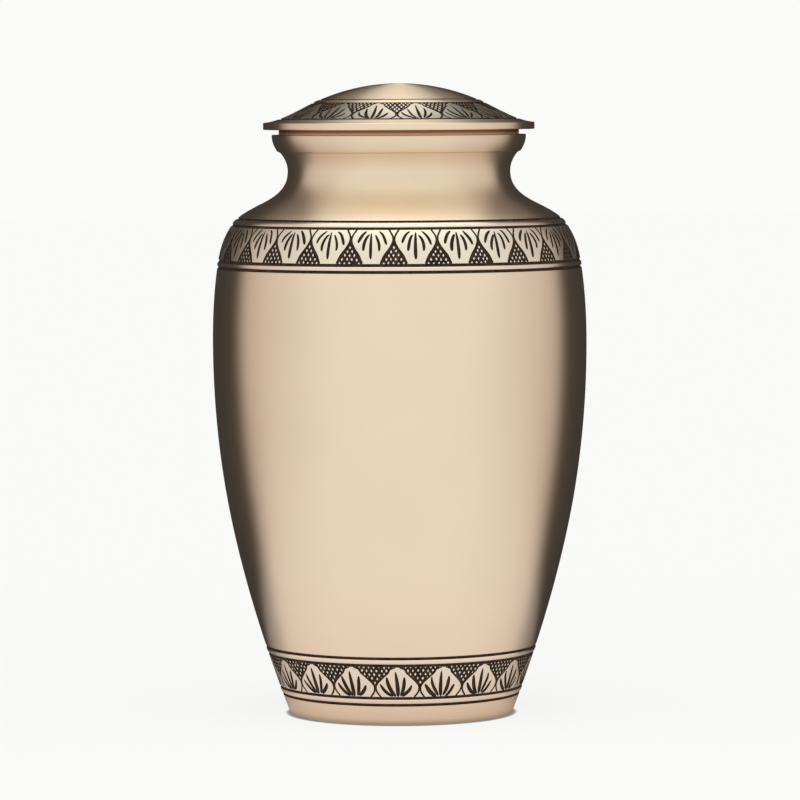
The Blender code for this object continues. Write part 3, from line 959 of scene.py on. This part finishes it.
# Tones of the floor seen in the metal, by distance from the axis in metres; the dark brown at the foot is
# painted shade and a painted reflection of the brass
FLOOR_TONES = (
    (0.047, (0.45, 0.39, 0.36)),
    (0.053, (0.90, 0.765, 0.74)),
    (0.11, (0.98, 0.92, 0.95)),
    (0.16, (1.01, 1.02, 1.08)),
    (0.24, (0.97, 0.99, 1.04)),
    (0.36, (0.80, 0.80, 0.83)),
)
# What both ramps are multiplied by, from 0 for straight down to 1 for straight up
HEIGHT_TONES = (
    (0.0, (0.90, 0.78, 0.74)),
    (0.15, (0.95, 0.86, 0.87)),
    (0.25, (0.97, 0.93, 0.96)),
    (0.40, (1.0, 0.99, 1.02)),
    (0.52, (1.01, 1.01, 1.02)),
    (0.66, (1.0, 1.0, 1.0)),
    (0.76, (0.93, 0.92, 0.94)),
    (0.86, (0.96, 0.94, 0.96)),
    (0.93, (1.30, 1.40, 1.45)),
    (1.0, (2.05, 1.92, 1.88)),
)

brushed = bronze("brushed_bronze", (0.85, 0.705, 0.51), 0.35, 0.5, 0.95)
cut_bright = bronze("bright_cut_bronze", (0.815, 0.73, 0.575), 0.36, 0.3, 0.6)
polished = bronze("polished_bronze", (0.82, 0.685, 0.54), 0.27, 0.2, 0.8)
# Unpolished bronze whose colour is painted shade: dark brown standing in for the shade in the gap under the
# flange
unpolished_painted_shade = bronze("unpolished_bronze_painted_shade", (0.42, 0.21, 0.10), 0.5, 0.5, 0.3)
# Painted light and shade on the spigot: bright at the collar and darkening into the corner under the flange,
# where the flange shades it
SPIGOT_SHADE_TONES = ((0.1, (0.95, 0.68, 0.47)), (0.38, (0.62, 0.36, 0.20)), (0.6, (0.34, 0.165, 0.075)))
shade_upwards(unpolished_painted_shade, COLLAR_TOP, FLANGE_BOTTOM, SPIGOT_SHADE_TONES)
black = blackened("blackened_cuts")


def engraved(name, node, profile, columns, bands):
    """One closed mesh of a turned profile and its leaf bands, standing for a solid."""
    surface = Surface(profile, columns)
    for band, at in zip(bands, profile.bands):
        band.lay(surface, at)
    piece = bpy.data.objects.new(name, surface.mesh(name, (brushed, cut_bright, black, unpolished_painted_shade, polished)))
    bpy.context.scene.collection.objects.link(piece)
    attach(piece, "root")
    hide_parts(node)


shoulder_edges, foot_edges = vessel_rings()[1:3], vessel_rings()[5:7]
engraved(
    "engraved_urn_body", "urn_body", vessel_profile(), BODY_COLUMNS,
    (
        LeafBand(
            vessel_surface, shoulder_edges, SHOULDER_LEAVES, SHOULDER_TURN,
            hanging=True, fullness=1.1, seed=11,
        ),
        LeafBand(
            vessel_surface, foot_edges, FOOT_LEAVES, FOOT_TURN,
            hanging=False, fullness=1.1, seed=12,
        ),
    ),
)
engraved(
    "engraved_lid", "lid", lid_profile(), LID_COLUMNS,
    (LeafBand(lid_surface, lid_rings()[1:], LID_LEAVES, LID_TURN, hanging=False, fullness=0.82, seed=13),),
)


def flat_round(name, radius, forward, height, material):
    """A level round sheet of 96 sides, for the stage, its middle this far in front of the axis."""
    turns = np.arange(96) * 2 * math.pi / 96
    corners = np.stack([radius * np.cos(turns), radius * np.sin(turns) - forward, np.zeros(96)], axis=1)
    mesh = bpy.data.meshes.new(name)
    mesh.from_pydata(corners.tolist(), [], [list(range(96))])
    mesh.materials.append(material)
    sheet = bpy.data.objects.new(name, mesh)
    sheet.location.z = height
    bpy.context.scene.collection.objects.link(sheet)
    return sheet


floor_paper = paper("pale_floor", (0.99, 1.0, 0.983), 0.843, 0.12)
pale_floor = flat_round("pale_floor", 9.0, 0.0, -0.0002, floor_paper)
pale_floor.visible_glossy = False
near_floor = flat_round("near_floor", 0.22, 0.10, -0.0004, floor_in_metal("near_floor"))
for ray in ("camera", "diffuse", "transmission", "volume_scatter", "shadow"):
    setattr(near_floor, "visible_" + ray, False)

studio()

# How far the camera looks down and is rolled, in degrees, as the photo's outline gives it
LOOK_DOWN, ROLL = 3.508, -0.26
camera_data = bpy.data.cameras.new("camera")
camera_data.lens = 220.06
camera_data.sensor_width = 36.0
camera_data.clip_end = 20.0
camera = bpy.data.objects.new("camera", camera_data)
camera.location = (0.0, -2.0716, 0.2598)
tilt = Euler((math.radians(90 - LOOK_DOWN), 0.0, 0.0)).to_matrix()
roll = Euler((0.0, 0.0, math.radians(ROLL))).to_matrix()
camera.rotation_euler = (tilt @ roll).to_euler()
bpy.context.scene.collection.objects.link(camera)
bpy.context.scene.camera = camera
bpy.context.scene.view_settings.view_transform = "Standard"
